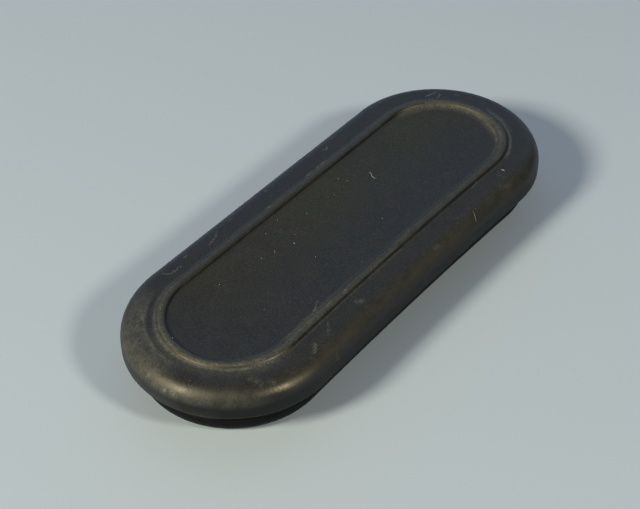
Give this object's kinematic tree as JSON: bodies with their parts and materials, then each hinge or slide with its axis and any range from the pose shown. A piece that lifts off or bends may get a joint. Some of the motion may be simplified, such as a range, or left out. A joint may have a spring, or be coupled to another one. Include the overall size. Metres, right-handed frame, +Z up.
{
  "type": "blind rubber grommet",
  "caption": "Oblong blind grommet moulded in black rubber: a rounded flange with a raised bead ring, a slot that grips the edge of a sheet, and a rounded lip below.",
  "frame": {"origin": "on the ground under the middle of the part, in the plane of the lip's bottom face", "axes": "+X along the length, +Y across the width, +Z up through the flange"},
  "size_m": [0.1, 0.0388, 0.0123],
  "materials": {
    "black_rubber": "matt moulded black rubber, lightly dusty and scuffed"
  },
  "bodies": {
    "root": {"grommet": "black_rubber"}
  },
  "joints": []
}
